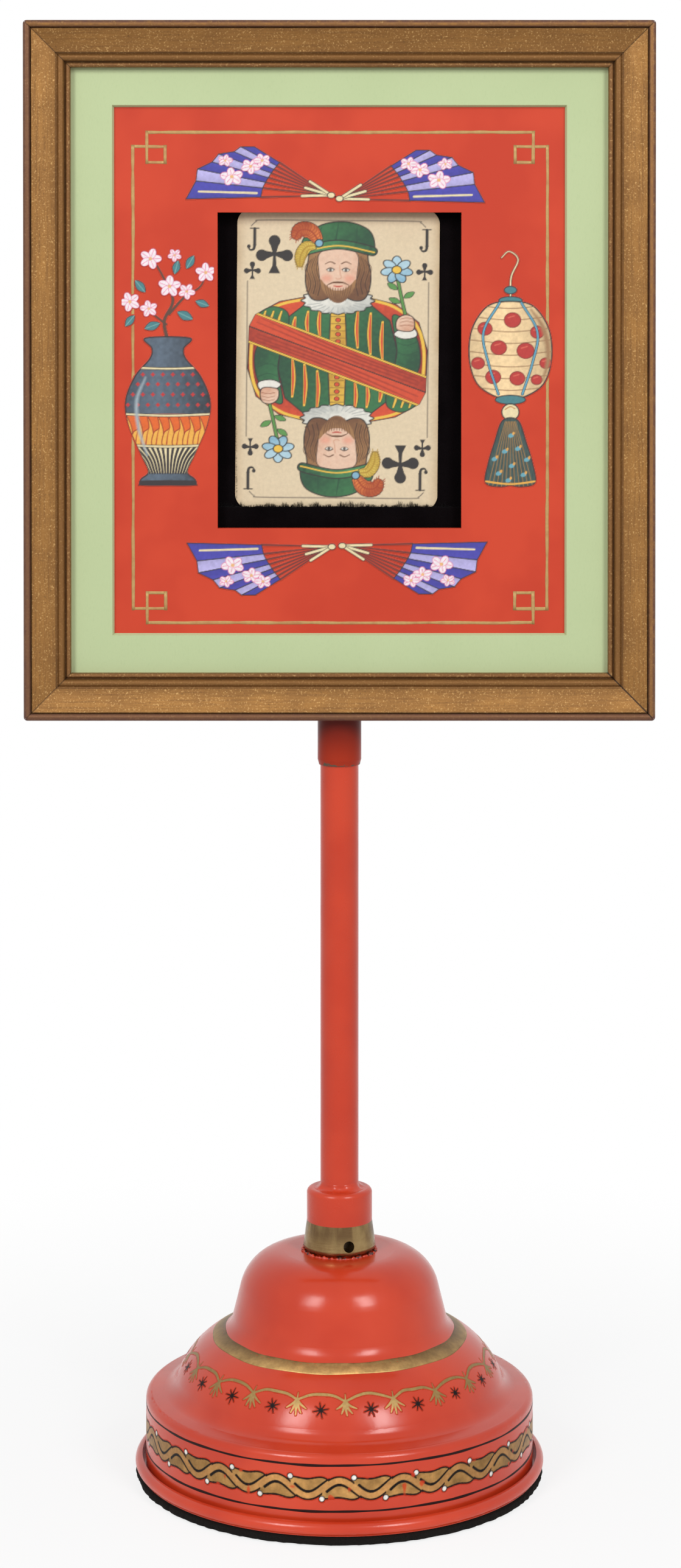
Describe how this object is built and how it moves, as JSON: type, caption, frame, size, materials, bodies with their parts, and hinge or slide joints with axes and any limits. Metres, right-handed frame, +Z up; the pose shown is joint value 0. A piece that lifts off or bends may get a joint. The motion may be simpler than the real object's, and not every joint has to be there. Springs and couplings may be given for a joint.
{
  "type": "playing card display frame on a stand",
  "caption": "Gilt picture frame with a green mat and a red panel, whose velvet-lined window shows one playing card, turning on a red tube stem above a weighted bell-shaped metal base.",
  "frame": {"origin": "middle of the foot, on the surface that the stand rests on", "axes": "+Z up along the stem, the picture side of the frame faces -Y, +X to the right of someone looking at the card"},
  "size_m": [0.182, 0.1188, 0.4223],
  "materials": {
    "black_felt": "coarse black felt",
    "red_enamel": "glossy orange-red enamel",
    "cast_weight": "rough casting",
    "steel": "plain steel",
    "brass": "tarnished brass",
    "gilt_wood": "worn bronze gilding on wood",
    "green_card": "matt pale green mount board",
    "red_board": "orange-red enamel on thin board",
    "black_board": "black paper",
    "black_velvet": "black velvet",
    "printed_card": "aged printed card",
    "brown_board": "brown hardboard"
  },
  "bodies": {
    "base": {"foot_felt": "black_felt", "base_pan": "red_enamel", "base_weight": "cast_weight", "tie_rod": "steel", "tie_washer": "steel", "tie_nut": "steel", "weight_nut": "steel", "base_shell": "red_enamel", "ferrule": "brass", "ring_nut": "steel"},
    "stem": {"stem_collar": "red_enamel", "stem_tube": "red_enamel"},
    "frame": {"stem_socket": "red_enamel", "rail_bottom": "gilt_wood", "rail_top": "gilt_wood", "rail_left": "gilt_wood", "rail_right": "gilt_wood", "corner_wedges": "steel", "green_mat": "green_card", "red_panel": "red_board", "window_spacer": "black_board", "velvet_board": "black_velvet", "velvet_fold": "black_velvet", "playing_card": "printed_card", "back_board": "brown_board", "button_screws": "brass"},
    "button_1": {"turn_button_1": "brass"},
    "button_2": {"turn_button_2": "brass"},
    "button_3": {"turn_button_3": "brass"},
    "button_4": {"turn_button_4": "brass"}
  },
  "joints": [
    {"name": "stem_lift", "type": "slide", "parent": "base", "child": "stem", "axis": [0, 0, 1], "range_m": [0, 0.018]},
    {"name": "frame_swivel", "type": "hinge", "parent": "stem", "child": "frame", "pos_m": [0, 0, 0.207], "axis": [0, 0, 1], "continuous": true},
    {"name": "button_1_turn", "type": "hinge", "parent": "frame", "child": "button_1", "pos_m": [-0.08637, 0.0094, 0.37645], "axis": [0, 1, 0], "range_deg": [-90, 90]},
    {"name": "button_2_turn", "type": "hinge", "parent": "frame", "child": "button_2", "pos_m": [0.08637, 0.0094, 0.37645], "axis": [0, 1, 0], "range_deg": [-90, 90]},
    {"name": "button_3_turn", "type": "hinge", "parent": "frame", "child": "button_3", "pos_m": [-0.08637, 0.0094, 0.26645], "axis": [0, 1, 0], "range_deg": [-90, 90]},
    {"name": "button_4_turn", "type": "hinge", "parent": "frame", "child": "button_4", "pos_m": [0.08637, 0.0094, 0.26645], "axis": [0, 1, 0], "range_deg": [-90, 90]}
  ]
}
